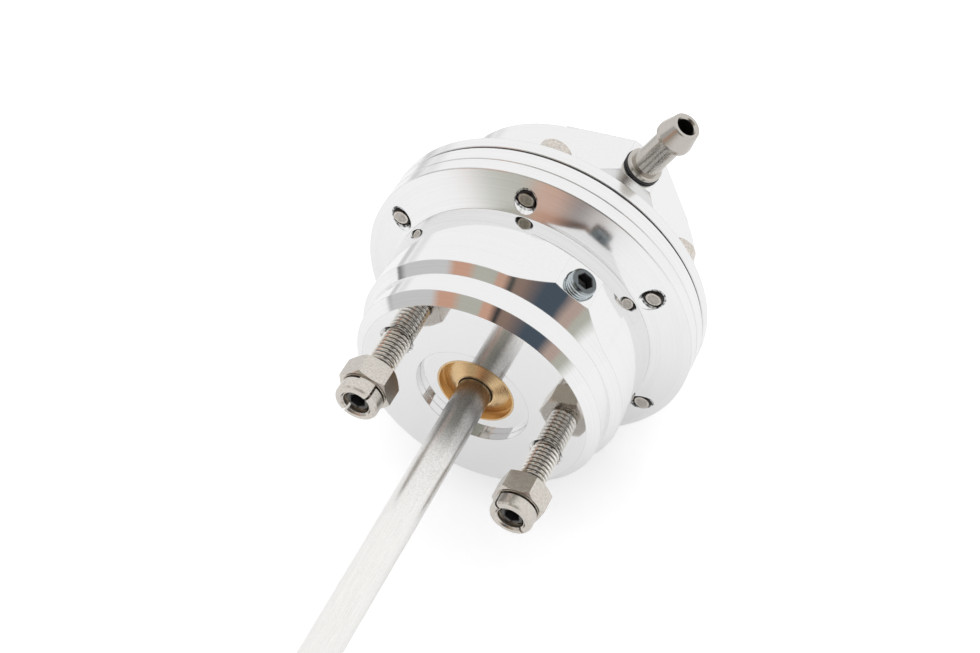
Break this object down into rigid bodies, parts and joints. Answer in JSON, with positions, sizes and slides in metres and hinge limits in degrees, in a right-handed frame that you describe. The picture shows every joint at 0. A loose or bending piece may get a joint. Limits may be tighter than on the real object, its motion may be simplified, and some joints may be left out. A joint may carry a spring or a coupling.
{
  "type": "diaphragm actuator",
  "caption": "Round diaphragm actuator with a sliding push rod, a spring return, mounting studs beside the rod and a hose barb on a lobed cap.",
  "frame": {"origin": "centre of the mount face, on the rod axis", "axes": "+Z out of the mount face along the rod; -Y towards the hose barb and the blanking plug; the studs are on +X and -X"},
  "size_m": [0.074, 0.0857, 0.142],
  "materials": {
    "polished_aluminium": "polished",
    "turned_aluminium": "turned",
    "stainless_steel": "satin",
    "nut_steel": "satin",
    "bolt_steel": "satin",
    "plug_steel": "zinc plated",
    "spring_steel": "satin",
    "bush_brass": "satin",
    "black_rubber": "matte"
  },
  "bodies": {
    "housing": {"lower_body": "polished_aluminium", "middle_ring": "turned_aluminium", "cap": "turned_aluminium", "rod_bush": "bush_brass", "rod_seal": "black_rubber", "bush_clip": "spring_steel", "mount_studs": "stainless_steel", "lock_nuts": "nut_steel", "flange_bolts": "bolt_steel", "body_seal": "black_rubber", "spring_seat": "stainless_steel", "outer_spring": "spring_steel", "inner_spring": "spring_steel", "diaphragm": "black_rubber", "hose_barb": "stainless_steel", "barb_seal": "black_rubber", "blanking_plug": "plug_steel"},
    "slider": {"rod": "stainless_steel", "piston": "turned_aluminium", "clamp_plate": "stainless_steel", "piston_nut": "nut_steel"}
  },
  "joints": [
    {"name": "rod_slide", "type": "slide", "parent": "housing", "child": "slider", "axis": [0, 0, 1], "range_m": [0, 0.01], "stiffness_N_per_m": 3000, "springref_m": -0.012, "deforming": ["outer_spring", "inner_spring", "diaphragm"]}
  ]
}
